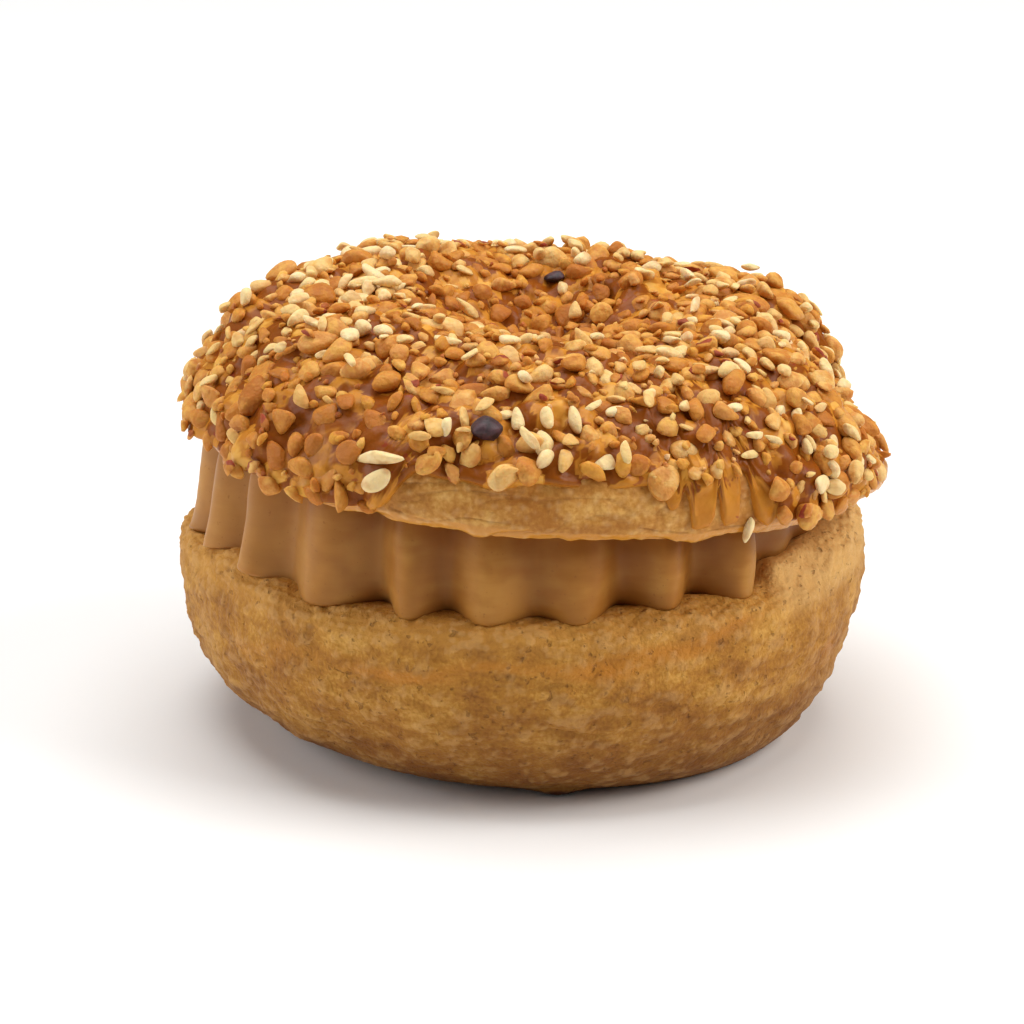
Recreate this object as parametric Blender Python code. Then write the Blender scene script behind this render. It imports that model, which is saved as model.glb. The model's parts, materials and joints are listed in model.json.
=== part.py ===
"""Filled choux ring: a baked base, a fluted disc of praline cream, and a lid under a crust of nuts.

Metres, +Z up. The origin is the middle of the base's flat underside, where the pastry stands.
Azimuths are in degrees round +Z: 0 is the front (-Y) and 90 is the right (+X).
Every solid is a skin over its cross-sections, one section for each step of azimuth.
"""

import math

import bmesh
import bpy
from mathutils import Euler, Vector, noise

MM = 0.001
GAP = 0.3 * MM  # kept between two solids that touch

# Base: the lower half of the baked ring. Its rim rounds over and dips to the seat under the cream.
BASE_FOOT_RADIUS = 27.0 * MM
BASE_FOOT_BULGE = 5.0 * MM  # how much further the foot reaches at the front right
BASE_WIDEST_RADIUS = 42.6 * MM
BASE_WIDEST_HEIGHT = 18.0 * MM
BASE_RIM_HEIGHT = 25.1 * MM  # where the cream's flutes end on the dough
BASE_SEAT_HEIGHT = 24.2 * MM  # the middle of the cut face that the cream lies on
TORN_RISE = 2.3 * MM  # how much higher the dough stands at the right, where it tore
SHOULDER_RADIUS = 42.3 * MM  # where the flank starts to round over to the rim
SHOULDER_DROP = 3.0 * MM  # how far that lies below the rim
RIM_OUTER_RADIUS = 41.6 * MM
RIM_OUTER_DROP = 1.2 * MM
RIM_CREST_RADIUS = 40.3 * MM
RIM_CREST_DROP = 0.3 * MM
RIM_INNER_RADIUS = 38.8 * MM
SEAT_RADII = (36.6 * MM, 33.0 * MM, 23.0 * MM)  # from the rim down to the level seat

# Cream: one thick disc, its wall pressed into upright flutes by the piping nozzle.
CREAM_RIDGE_RADIUS = 39.8 * MM
CREAM_FLUTES = 23
FLUTE_DEPTH = 3.0 * MM
GROOVE_WEAR = 0.8  # how round the grooves' bottoms are
CREAM_SET_BACK = 3.0 * MM  # how much further in the wall stands behind the torn dough
CREAM_TOE = 0.4 * MM  # how far each flute's foot spreads over the base
CREAM_SKIRT = 2.0 * MM  # how much further it spreads at the left
CREAM_BELLY = 0.5 * MM
UNDER_CLEARANCE = 0.1 * MM  # beyond the usual gap, because the seat and the cream differ in facets

# Lid: the upper half of the ring, with the hole baked shut to a dimple.
LID_SHIFT = (1.4 * MM, 0.0, 36.0 * MM)  # middle of the lid's cut face
LID_TILT = math.radians(4.6)  # the lid leans down to the right
LID_EDGE_RADIUS = 42.2 * MM
LID_WIDEST_RADIUS = 43.0 * MM
LID_WIDEST_HEIGHT = 2.2 * MM
LID_CREST_RADIUS = 20.5 * MM
LID_CREST_HEIGHT = 15.6 * MM
DIMPLE_DEPTH = 7.5 * MM

# Crust: chopped nuts set in caramel over the lid, open at the bottom of the dimple.
CRUST_THICKNESS = 2.1 * MM
CRUST_LUMP = 0.9 * MM  # how far its outside swells and dips
CRUST_LUMP_SIZE = 8.0 * MM
CRUST_BED = 0.45 * MM  # how far its underside clears the lid
CRUST_HEM = 0.965
HEAPS = (  # azimuth, width, way, width in way, rise in mm of a heap or a hollow in the nuts
    (-90, 14, 0.64, 0.09, 1.6),
    (-100, 10, 0.50, 0.08, 0.6),
    (30, 14, 0.60, 0.10, 0.4),
    (-50, 16, 0.58, 0.08, 0.5),
    (100, 12, 0.62, 0.12, -0.7),
    (128, 14, 0.55, 0.10, 0.4),
)

# The lid's upper side is measured by way: 0 in the dimple, 1 at the lower edge.
CREST_WAY = 0.4
WIDEST_WAY = 0.9
BARE_WAYS = (0.0, 0.04)  # the dimple's bottom, which the crust leaves open
CRUST_WAYS = (0.1, 0.18, 0.28, 0.4, 0.5, 0.6, 0.68, 0.76)
FLANK_WAYS = (0.83, 0.9, 0.95, 1.0)

STEPS = 64  # sections round the base, the lid and its crust
CREAM_STEPS = CREAM_FLUTES * 5


def swell(azimuth, centre, width):
    """A smooth bump: 1 at the centre azimuth, fading out over about width degrees to each side."""
    away = (azimuth - centre + 180.0) % 360.0 - 180.0
    return math.exp(-((away / width) ** 2))


def lobes(azimuth, *waves):
    """A sum of (amount, number round the ring, azimuth of its peak) waves."""
    return sum(a * math.cos(math.radians(n * (azimuth - peak))) for a, n, peak in waves)


def span(azimuth, start, end, soft):
    """1 between two azimuths, fading out over soft degrees beyond them."""
    away = abs((azimuth - 0.5 * (start + end) + 180.0) % 360.0 - 180.0)
    share = min(1.0, max(0.0, (away - 0.5 * (end - start)) / soft))
    return 1 - share * share * (3 - 2 * share)


def at(azimuth, radius, height):
    """The point at this azimuth, distance from the axis and height."""
    turn = math.radians(azimuth)
    return Vector((radius * math.sin(turn), -radius * math.cos(turn), height))


def skin(name, sections, material, closed=False):
    """A solid over cross-sections that run round the axis. Open sections start and end on the axis."""
    mesh = bmesh.new()
    rows = [[mesh.verts.new(point) for point in section] for section in sections]
    joints = len(rows[0]) if closed else len(rows[0]) - 1
    for here, after in zip(rows, rows[1:] + rows[:1]):
        for i in range(joints):
            j = (i + 1) % len(here)
            mesh.faces.new((here[i], here[j], after[j], after[i]))
    bmesh.ops.remove_doubles(mesh, verts=mesh.verts, dist=0.001 * MM)
    bmesh.ops.recalc_face_normals(mesh, faces=mesh.faces)
    data = bpy.data.meshes.new(name)
    mesh.to_mesh(data)
    mesh.free()
    data.shade_smooth()
    data.set_sharp_from_angle(angle=math.radians(50))
    data.materials.append(material)
    solid = bpy.data.objects.new(name, data)
    bpy.context.collection.objects.link(solid)
    return solid


def turns(steps):
    """The azimuths of a ring of sections."""
    return [360.0 * i / steps for i in range(steps)]


# Base ---------------------------------------------------------------------------------------------


def base_spread(azimuth):
    """How much wider or narrower than a true round the base is here."""
    return 1 + lobes(azimuth, (0.007, 2, 86), (0.006, 3, 15), (0.004, 5, -40))


def widest_height(azimuth):
    """How high the flank is widest. It leans out at the right and sags at the left."""
    return BASE_WIDEST_HEIGHT + MM * (3.0 * swell(azimuth, 88, 35) - 1.5 * swell(azimuth, -90, 40))


def rim_height(azimuth):
    """Where the cream ends. The dough tore upwards at the right and a little at the left."""
    raised = MM * (1.7 * swell(azimuth, -60, 14) + 0.7 * swell(azimuth, 26, 9))
    uneven = MM * lobes(azimuth, (0.15, 4, 10), (0.12, 7, 35))
    return BASE_RIM_HEIGHT + raised + TORN_RISE * span(azimuth, 51, 100, 4) + uneven


def brow_height(azimuth):
    """The height of the rim's outside. It lags behind the torn dough, which mounds up to the cream."""
    return rim_height(azimuth) - TORN_RISE * (span(azimuth, 51, 100, 4) - span(azimuth, 66, 102, 8))


def base_section(azimuth):
    """From the middle of the underside, up the flank, over the rim and in to the middle of the seat."""
    spread = base_spread(azimuth)
    flare = spread + 0.015 * swell(azimuth, -88, 20)
    foot = BASE_FOOT_RADIUS + BASE_FOOT_BULGE * (swell(azimuth, 62, 42) - 0.4 * swell(azimuth, -50, 30))
    rim, brow = rim_height(azimuth), brow_height(azimuth)
    profile = [(0.0, 0.0), (0.55 * foot, 0.0)]
    flank_steps = 7
    for i in range(flank_steps + 1):
        t = 0.5 * math.pi * i / flank_steps
        radius = foot + (BASE_WIDEST_RADIUS - foot) * math.sin(t)
        profile.append((radius * spread, widest_height(azimuth) * (1 - math.cos(t)) ** 0.9))
    near, middle, far = SEAT_RADII
    profile += [
        (SHOULDER_RADIUS * flare, brow - SHOULDER_DROP),
        (RIM_OUTER_RADIUS * flare, brow - RIM_OUTER_DROP),
        (RIM_CREST_RADIUS * flare, 0.7 * brow + 0.3 * rim - RIM_CREST_DROP),
        (RIM_INNER_RADIUS * spread, rim),
        (near, rim),
        (middle, 0.5 * (rim + BASE_SEAT_HEIGHT)),
        (far, BASE_SEAT_HEIGHT),
        (0.0, BASE_SEAT_HEIGHT),
    ]
    return [at(azimuth, radius, height) for radius, height in profile]


# Lid and its crust --------------------------------------------------------------------------------


def lid_spread(azimuth):
    """How much wider or narrower than a true round the lid is here."""
    oval = lobes(azimuth, (0.008, 2, 90), (0.006, 3, -20), (0.005, 5, 30))
    return 1 + oval + 0.035 * swell(azimuth, 78, 20) + 0.015 * swell(azimuth, -88, 24)


def lid_crest(azimuth):
    """The height of the crest over the cut face, highest at the back right."""
    return LID_CREST_HEIGHT + MM * (0.5 * swell(azimuth, 150, 30) - 0.4 * swell(azimuth, -125, 25))


def lid_fold(azimuth, climb):
    """How far the lid's flank is pinched in. climb is 0 at the lower edge and 1 on the crest."""
    climb = min(1.0, max(0.0, climb))
    crease = 8.0 * swell(azimuth, 106, 12) + 7.5 * swell(azimuth, 84, 15) + 2.8 * swell(azimuth, -96, 32)
    hump = 3.8 * swell(azimuth, 122, 13)
    pinched = crease * math.sin(math.pi * climb**0.85) ** 1.5
    return MM * (pinched - hump * math.sin(math.pi * climb**1.5) ** 1.5)


def lid_top(azimuth, way):
    """(radius, height) on the lid's upper side, this far along the way from dimple to edge."""
    crest = lid_crest(azimuth)
    if way < CREST_WAY:
        share = way / CREST_WAY
        climb = 0.5 - 0.5 * math.cos(math.pi * share**0.8)
        bottom = LID_CREST_HEIGHT - DIMPLE_DEPTH
        return LID_CREST_RADIUS * share * lid_spread(azimuth), bottom + (crest - bottom) * climb
    t = 0.5 * math.pi * (way - CREST_WAY) / (WIDEST_WAY - CREST_WAY)
    if t <= 0.5 * math.pi:
        radius = LID_CREST_RADIUS + (LID_WIDEST_RADIUS - LID_CREST_RADIUS) * math.sin(t) ** 0.95
        height = LID_WIDEST_HEIGHT + (crest - LID_WIDEST_HEIGHT) * math.cos(t) ** 0.9
    else:
        drop = (way - WIDEST_WAY) / (1 - WIDEST_WAY)
        radius = LID_WIDEST_RADIUS - (LID_WIDEST_RADIUS - LID_EDGE_RADIUS) * drop**2
        height = LID_WIDEST_HEIGHT * (1 - drop)
    climb = 1 - (way - CREST_WAY) / (1 - CREST_WAY)
    return radius * lid_spread(azimuth) - lid_fold(azimuth, climb), height


def lid_surface(azimuth, way, lift=0.0):
    """A point on the lid's upper side, raised square to it by lift."""
    radius, height = lid_top(azimuth, way)
    before = lid_top(azimuth, max(0.0, way - 0.01))
    after = lid_top(azimuth, min(1.0, way + 0.01))
    along = Vector((after[0] - before[0], after[1] - before[1])).normalized()
    return at(azimuth, radius - lift * along.y, height + lift * along.x)


def lid_section(azimuth):
    """From the middle of the cut face, out to the edge, up the flank and down into the dimple."""
    edge = lid_top(azimuth, 1.0)[0]
    cut = [at(azimuth, 0.0, 0.0), at(azimuth, 0.55 * edge, 0.0)]
    ways = BARE_WAYS + CRUST_WAYS + FLANK_WAYS
    return cut + [lid_surface(azimuth, way) for way in reversed(ways)]


def crust_hem(azimuth):
    """Where the crust ends, as the way from the dimple (0) to the lid's lower edge (1)."""
    bare_front = 0.155 * span(azimuth, -19, 34, 9) + 0.03 * span(azimuth, 36, 60, 8)
    return CRUST_HEM - bare_front - lobes(azimuth, (0.008, 6, 20), (0.006, 11, 5))


def heaped(azimuth, way):
    """How much higher than usual the nuts are heaped over this point of the lid."""
    return MM * sum(
        rise * swell(azimuth, centre, width) * math.exp(-(((way - middle) / reach) ** 2))
        for centre, width, middle, reach, rise in HEAPS
    )


def crust_thickness(azimuth, way):
    """The crust's thickness over this point of the lid, uneven as the heaped nuts are."""
    point = lid_surface(azimuth, way)
    lump = noise.noise(point / CRUST_LUMP_SIZE) + 0.6 * noise.noise(point / (0.45 * CRUST_LUMP_SIZE))
    return CRUST_THICKNESS + CRUST_LUMP * lump + heaped(azimuth, way)


def crust_section(azimuth):
    """A closed loop: out over the nuts from the dimple to the hem, and back along the lid."""
    start, hem = CRUST_WAYS[0], crust_hem(azimuth)
    outer_steps = 13
    outer = []
    for i in range(outer_steps + 1):
        way = start + (hem - start) * i / outer_steps
        thick = crust_thickness(azimuth, way)
        rounding = min(1.0, 0.35 + 2.5 * min(i, outer_steps - i) / outer_steps)
        outer.append(lid_surface(azimuth, way, CRUST_BED + thick * rounding))
    flank = min(FLANK_WAYS[0], 0.5 * (CRUST_WAYS[-1] + hem))
    widest = min(WIDEST_WAY, 0.5 * (flank + hem))
    under_ways = CRUST_WAYS + (flank, widest, hem)
    inner = [lid_surface(azimuth, way, CRUST_BED) for way in reversed(under_ways)]
    return outer + inner


# Cream --------------------------------------------------------------------------------------------


def flute(azimuth):
    """1 on a flute's ridge and 0 in the groove beside it. The flutes are unevenly spaced."""
    drift = 6.2 - 2.2 * swell(azimuth, -27, 10) + 1.5 * swell(azimuth, -52, 12)
    wave = math.cos(math.radians(0.5 * CREAM_FLUTES * (azimuth + drift)))
    return (math.hypot(wave, GROOVE_WEAR) - GROOVE_WEAR) / (math.hypot(1.0, GROOVE_WEAR) - GROOVE_WEAR)


def rim_facet(azimuth):
    """The height of the base's rim here, between two of its sections."""
    place = azimuth * STEPS / 360.0
    first = math.floor(place)
    before, after = (rim_height((first + i) * 360.0 / STEPS) for i in (0, 1))
    return before + (after - before) * (place - first)


def cream_section(azimuth):
    """From the middle of the underside, up the fluted wall and in to the middle of the top."""
    lean = math.tan(LID_TILT)
    back = span(azimuth, 50, 104, 7)
    ridge = CREAM_RIDGE_RADIUS * (1 + lobes(azimuth, (0.006, 2, 60), (0.005, 3, 100)))
    ridge -= CREAM_SET_BACK * back
    depth = FLUTE_DEPTH * (1 + lobes(azimuth, (0.2, 5, -38), (0.15, 8, 24))) * (1 - 0.7 * back)
    wall = ridge - depth * (1 - flute(azimuth))
    toe = CREAM_TOE + CREAM_SKIRT * span(azimuth, -112, -44, 10)

    def ceiling(radius):
        across = radius * math.sin(math.radians(azimuth))
        return LID_SHIFT[2] - (across - LID_SHIFT[0]) * lean - GAP / math.cos(LID_TILT)

    clear = GAP + UNDER_CLEARANCE
    floor = rim_facet(azimuth) + clear
    seat = BASE_SEAT_HEIGHT + clear
    under = ((0.0, seat), (0.5 * wall, seat), (0.78 * wall, 0.5 * (floor + seat)), (0.9 * wall, floor))
    points = [at(azimuth, radius, height) for radius, height in under]
    wall_steps = 6
    for i in range(wall_steps + 1):
        climb = i / wall_steps
        radius = wall + toe * (1 - climb) ** 3 + CREAM_BELLY * math.sin(math.pi * climb)
        radius -= 0.8 * MM * climb**6
        points.append(at(azimuth, radius, floor + climb * (ceiling(radius) - floor)))
    points += [at(azimuth, 0.6 * wall, ceiling(0.6 * wall)), at(azimuth, 0.0, ceiling(0.0))]
    return points


# The model ----------------------------------------------------------------------------------------


def food_material(name, colour, roughness):
    material = bpy.data.materials.new(name)
    material.use_nodes = True
    shader = material.node_tree.nodes["Principled BSDF"]
    shader.inputs["Base Color"].default_value = (*colour, 1.0)
    shader.inputs["Roughness"].default_value = roughness
    shader.inputs["Metallic"].default_value = 0.0
    return material


def clear_scene():
    for old in list(bpy.data.objects):
        bpy.data.objects.remove(old)


def main():
    clear_scene()
    baked = food_material("baked_choux", (0.52, 0.26, 0.08), 0.55)
    golden = food_material("glazed_choux", (0.56, 0.25, 0.06), 0.4)
    praline = food_material("praline_cream", (0.36, 0.20, 0.09), 0.5)
    nuts = food_material("caramel_nuts", (0.62, 0.29, 0.09), 0.35)

    skin("base_shell", [base_section(a) for a in turns(STEPS)], baked)
    skin("praline_cream", [cream_section(a) for a in turns(CREAM_STEPS)], praline)
    lid = skin("lid_shell", [lid_section(a) for a in turns(STEPS)], golden)
    crust = skin("nut_crust", [crust_section(a) for a in turns(STEPS)], nuts, closed=True)

    seat = bpy.data.objects.new("lid_seat", None)
    seat.location = LID_SHIFT
    seat.rotation_euler = Euler((0.0, LID_TILT, 0.0))
    bpy.context.collection.objects.link(seat)
    for part in (lid, crust):
        part.parent = seat


main()
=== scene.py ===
# %% [markdown]
# # A choux ring filled with praline cream
# The pastry is a baked ring cut in two. The lower half carries a thick piped cream, and the upper half
# lies on it a little askew, under a crust of chopped nuts set in caramel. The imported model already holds
# these as plain solids. Here each solid gets a finer skin, and the nuts are made one by one.
#
# The model comes first, because everything else is placed by it.

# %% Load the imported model
import json
import math

import bmesh
import bpy
import numpy as np
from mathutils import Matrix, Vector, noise

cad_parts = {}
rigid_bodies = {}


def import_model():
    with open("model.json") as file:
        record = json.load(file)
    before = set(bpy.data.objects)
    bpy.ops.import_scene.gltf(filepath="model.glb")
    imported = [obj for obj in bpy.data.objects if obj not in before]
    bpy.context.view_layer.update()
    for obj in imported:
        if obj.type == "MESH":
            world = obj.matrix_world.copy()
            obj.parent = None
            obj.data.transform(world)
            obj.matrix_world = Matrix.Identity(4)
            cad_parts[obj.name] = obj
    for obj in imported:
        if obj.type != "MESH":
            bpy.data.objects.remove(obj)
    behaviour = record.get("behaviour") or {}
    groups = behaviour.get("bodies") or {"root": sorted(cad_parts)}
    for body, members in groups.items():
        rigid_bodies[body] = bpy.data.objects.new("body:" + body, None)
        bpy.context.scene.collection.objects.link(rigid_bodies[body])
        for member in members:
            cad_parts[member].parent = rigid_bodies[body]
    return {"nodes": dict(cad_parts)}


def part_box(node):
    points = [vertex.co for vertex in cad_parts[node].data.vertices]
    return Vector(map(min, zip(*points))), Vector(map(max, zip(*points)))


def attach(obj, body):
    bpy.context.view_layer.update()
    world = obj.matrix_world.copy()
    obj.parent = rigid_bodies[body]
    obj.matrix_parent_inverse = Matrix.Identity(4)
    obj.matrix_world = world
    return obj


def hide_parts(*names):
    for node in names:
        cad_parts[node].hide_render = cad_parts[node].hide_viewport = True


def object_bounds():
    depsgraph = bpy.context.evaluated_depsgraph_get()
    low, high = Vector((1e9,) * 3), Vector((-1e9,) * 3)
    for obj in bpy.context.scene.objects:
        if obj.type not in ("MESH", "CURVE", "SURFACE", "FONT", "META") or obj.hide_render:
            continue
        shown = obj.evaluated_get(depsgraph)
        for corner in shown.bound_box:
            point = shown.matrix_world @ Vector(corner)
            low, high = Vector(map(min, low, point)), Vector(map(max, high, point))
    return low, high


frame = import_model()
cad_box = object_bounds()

MM = 0.001  # shapes are worked out in millimetres and turned into metres when a mesh is made
size_in_mm = (np.array(cad_box[1]) - np.array(cad_box[0])) / MM
print("nodes", sorted(frame["nodes"]), "size in mm", size_in_mm.round(1))

# %% [markdown]
# ## Round shapes
# A ring is easiest to describe by azimuth, distance from the axis and height. Azimuths are in degrees:
# 0 is the front and 90 the right. Nothing baked is truly round, so two small functions add unevenness:
# a swell is one bump on the ring, and lobes are slow waves round it. They take whole arrays, so one call
# shapes thousands of points.

# %% Azimuths, swells and lobes
def swell(azimuth, centre, width):
    """A smooth bump: 1 at the centre azimuth, fading out over about width degrees to each side."""
    away = (azimuth - centre + 180.0) % 360.0 - 180.0
    return np.exp(-((away / width) ** 2))


def lobes(azimuth, *waves):
    """A sum of (amount, number round the ring, azimuth of its peak) waves."""
    return sum(a * np.cos(np.radians(n * (azimuth - peak))) for a, n, peak in waves)


def at(azimuth, radius, height):
    """The points at these azimuths, distances from the axis and heights."""
    turn = np.radians(azimuth)
    return np.stack(np.broadcast_arrays(radius * np.sin(turn), -radius * np.cos(turn), height), axis=-1)


def turns(count):
    """The azimuths of a ring of sections, as a column, so that a section's rows can run across."""
    return (np.arange(count) * 360.0 / count)[:, None]


def step(values, low, high):
    """0 below low and 1 above high, with a soft passage between."""
    share = np.clip((values - low) / (high - low), 0.0, 1.0)
    return share * share * (3 - 2 * share)


def span(azimuth, start, end, soft):
    """1 between two azimuths, fading out over soft degrees beyond them."""
    away = np.abs((azimuth - 0.5 * (start + end) + 180.0) % 360.0 - 180.0)
    return 1 - step(away, 0.5 * (end - start), 0.5 * (end - start) + soft)


print("front", at(0.0, 1.0, 0.0).round(2), "right", at(90.0, 1.0, 0.0).round(2))

# %% [markdown]
# ## Unevenness
# Dough and caramel are rough at every scale. Blender's own noise gives soft lumps, and its Voronoi cells
# give crumbs and pebbles. Dividing the position by a stretch before reading the noise pulls the lumps
# out along an axis, which makes the level streaks of dough that has risen.

# %% Noise over many points
def lumps(points, size, stretch=(1.0, 1.0, 1.0), shift=0.0):
    """Soft noise from about -1 to 1, its lumps about this many millimetres wide."""
    places = (points / (size * np.array(stretch)) + shift).reshape(-1, 3)
    return np.array([noise.noise(p) for p in places.tolist()]).reshape(points.shape[:-1])


def cells(points, size, stretch=(1.0, 1.0, 1.0)):
    """Cells of about this size: how far each point is from the middle of its cell, and the cell's tone."""
    places = (points / (size * np.array(stretch))).reshape(-1, 3)
    found = [noise.voronoi(p) for p in places.tolist()]
    middle = np.array([distances[0] for distances, _ in found]).reshape(points.shape[:-1])
    tone = np.array([noise.cell(corners[0]) for _, corners in found]).reshape(points.shape[:-1])
    return middle, tone


print("noise at one point", lumps(np.array([[3.0, 1.0, 2.0]]), 2.5).round(3))

# %% [markdown]
# ## Meshes from grids
# Each skin is a grid: one section for each azimuth, each section a row of points. Laying the faces out
# from arrays is quick, and it leaves a clean closed mesh with no doubled points. A section either
# starts and ends on the axis, where all the sections share one point, or it is a closed loop.

# %% Grid to mesh
def outward(grid):
    """The direction square to the skin at each point of a grid."""
    around = np.roll(grid, -1, axis=0) - np.roll(grid, 1, axis=0)
    along = np.gradient(grid, axis=1)
    square = np.cross(around, along)
    return square / (np.linalg.norm(square, axis=-1, keepdims=True) + 1e-9)


def new_piece(name, points, faces, fields):
    """A mesh object from points in millimetres. fields are numbers kept for each point."""
    mesh = bpy.data.meshes.new(name)
    mesh.from_pydata((points * MM).tolist(), [], faces)
    mesh.update()
    for field, values in fields.items():
        mesh.attributes.new(field, "FLOAT", "POINT").data.foreach_set("value", values.astype(np.float32))
    mesh.shade_smooth()
    piece = bpy.data.objects.new(name, mesh)
    bpy.context.scene.collection.objects.link(piece)
    print(name, "triangles", sum(len(f) - 2 for f in faces), "size", (np.ptp(points, axis=0)).round(1))
    return piece


def ring_piece(name, grid, closed=False, **fields):
    """A skin over a grid whose sections run round the axis, rising on the outside."""
    rounds, rows = grid.shape[:2]
    inner = grid if closed else grid[:, 1:-1]
    index = np.arange(inner.shape[0] * inner.shape[1]).reshape(inner.shape[:2])
    after = np.roll(index, -1, axis=0)
    points = inner.reshape(-1, 3)
    fields = {field: values if closed else values[:, 1:-1] for field, values in fields.items()}
    fields = {field: values.reshape(-1) for field, values in fields.items()}
    if closed:
        index = np.concatenate([index, index[:, :1]], axis=1)
        after = np.concatenate([after, after[:, :1]], axis=1)
    corners = (index[:, :-1], after[:, :-1], after[:, 1:], index[:, 1:])
    faces = np.stack(corners, axis=-1).reshape(-1, 4).tolist()
    if not closed:
        bottom = len(points)
        points = np.concatenate([points, grid[:1, 0], grid[:1, -1]])
        fields = {field: np.append(v, (v[0], v[rows - 3])) for field, v in fields.items()}
        faces += [[bottom, after[i, 0], index[i, 0]] for i in range(rounds)]
        faces += [[bottom + 1, index[i, -1], after[i, -1]] for i in range(rounds)]
    return new_piece(name, points, faces, fields)


# %% [markdown]
# ## Materials as expressions
# A material is a small sum: tan here, darker in the cracks, shinier where the caramel ran. Written as
# nodes it needs dozens of lines, so one class wraps a socket and lets Python's own operators add the
# Math nodes, and another holds a material and adds every other node through one method. Colours go
# through Mix nodes, because a Math node would turn them grey.

# %% Wires and finishes
class Wire:
    """A value that runs through a material. Operators on it add Math nodes."""

    def __init__(self, finish, socket):
        self.finish = finish
        self.socket = socket

    def math(self, operation, first, second):
        return self.finish.node("ShaderNodeMath", {"operation": operation}, {0: first, 1: second})

    def __add__(self, other):
        return self.math("ADD", self, other)

    def __radd__(self, other):
        return self.math("ADD", other, self)

    def __sub__(self, other):
        return self.math("SUBTRACT", self, other)

    def __rsub__(self, other):
        return self.math("SUBTRACT", other, self)

    def __mul__(self, other):
        return self.math("MULTIPLY", self, other)

    def __rmul__(self, other):
        return self.math("MULTIPLY", other, self)

    def between(self, low, high):
        """0 at low and 1 at high, with a soft passage. high may be below low."""
        ends = {"Value": self, "From Min": low, "From Max": high}
        return self.finish.node("ShaderNodeMapRange", {"interpolation_type": "SMOOTHSTEP"}, ends)


class Finish:
    """A material: a Principled shader with its fixed numbers, and the nodes that feed it."""

    def __init__(self, name, **fixed):
        self.material = bpy.data.materials.new(name)
        self.material.use_nodes = True
        self.tree = self.material.node_tree
        self.shader = self.tree.nodes["Principled BSDF"]
        for socket, value in fixed.items():
            self.shader.inputs[socket.replace("_", " ")].default_value = value
        metres = self.node("ShaderNodeTexCoord", output="Object")
        scale = {0: metres, "Scale": 1 / MM}
        self.place = self.node("ShaderNodeVectorMath", {"operation": "SCALE"}, scale)

    def node(self, kind, settings=None, sockets=None, output=0):
        """Adds one node: its settings first, then the values or wires of its sockets."""
        made = self.tree.nodes.new(kind)
        for key, value in (settings or {}).items():
            if key == "stops":
                self.set_stops(made.color_ramp.elements, value)
            else:
                setattr(made, key, value)
        for key, value in (sockets or {}).items():
            self.feed(made.inputs[key], value)
        return Wire(self, made.outputs[output])

    def set_stops(self, elements, stops):
        while len(elements) < len(stops):
            elements.new(1.0)
        for element, (position, colour) in zip(elements, stops):
            element.position = position
            element.color = colour

    def feed(self, socket, value):
        if isinstance(value, Wire):
            self.tree.links.new(value.socket, socket)
        else:
            socket.default_value = value

    def drive(self, **sockets):
        """What changes over the surface: Base_Color, Roughness, Coat_Weight or Normal."""
        for socket, value in sockets.items():
            self.feed(self.shader.inputs[socket.replace("_", " ")], value)

    def field(self, name):
        """A number that the mesh keeps for each point."""
        return self.node("ShaderNodeAttribute", {"attribute_name": name}, output="Fac")

    def grain(self, size, detail=2.0, stretch=(1.0, 1.0, 1.0)):
        """Noise around 0.5 with grains this many millimetres wide, longer where stretched."""
        scale = [1 / (size * s) for s in stretch]
        place = self.node("ShaderNodeVectorMath", {"operation": "MULTIPLY"}, {0: self.place, 1: scale})
        return self.node("ShaderNodeTexNoise", {}, {"Vector": place, "Scale": 1.0, "Detail": detail})

    def ramp(self, value, *stops):
        """Colours along a value, each stop a position and a colour."""
        return self.node("ShaderNodeValToRGB", {"stops": stops}, {"Fac": value})

    def mix(self, mask, below, above, way="MIX"):
        """One colour over another where the mask is 1."""
        settings = {"data_type": "RGBA", "blend_type": way}
        return self.node("ShaderNodeMix", settings, {0: mask, 6: below, 7: above}, output=2)

    def bump(self, height, millimetres):
        """Fine relief for the Normal socket: a height of 1 stands this far out."""
        return self.node("ShaderNodeBump", {}, {"Distance": millimetres * MM, "Height": height})

    def dress(self, piece, node, slot):
        """Puts this finish on a piece that rides with the pastry. The slot argument is not used."""
        piece.data.materials.append(self.material)
        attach(piece, "root")
        if node:
            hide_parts(node)
        return piece


def paint(red, green, blue):
    """A colour as on a paint card, 0 to 255 for each part, in the linear light that shaders use."""
    parts = [value / 255 for value in (red, green, blue)]
    linear = [v / 12.92 if v <= 0.04045 else ((v + 0.055) / 1.055) ** 2.4 for v in parts]
    return (*linear, 1.0)


print("a middle grey in linear light", round(paint(128, 128, 128)[0], 3))

# %% [markdown]
# ## The base's shape
# The lower half of the ring sits like a shallow bowl. Its foot is a flat baked disc, its flank swells out
# and its cut rim is torn, highest at the right where the dough tore upwards. The profile has only the
# few points that matter, and a smooth curve through them gives as many rows as the relief needs.

# %% Base profile
FOOT_RADIUS = 27.0
FOOT_BULGE = 5.0  # how much further the foot reaches at the front right
WIDEST_RADIUS = 42.6
WIDEST_HEIGHT = 18.0
RIM_HEIGHT = 25.1  # where the cream's ribs end on the dough
SEAT_HEIGHT = 24.2  # the middle of the cut face
SHOULDER_RADIUS, SHOULDER_DROP = 42.3, 3.0  # where the flank starts to round over to the rim
RIM_RADII = (41.6, 40.3, 38.8)  # down the outside of the rim, over its round top and inside it
SEAT_RADII = (36.6, 33.0, 23.0)  # from the rim down to the level seat
TORN = 2.3  # how high the dough stands at the right, where it tore
FLANK_STEPS = 7


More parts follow.
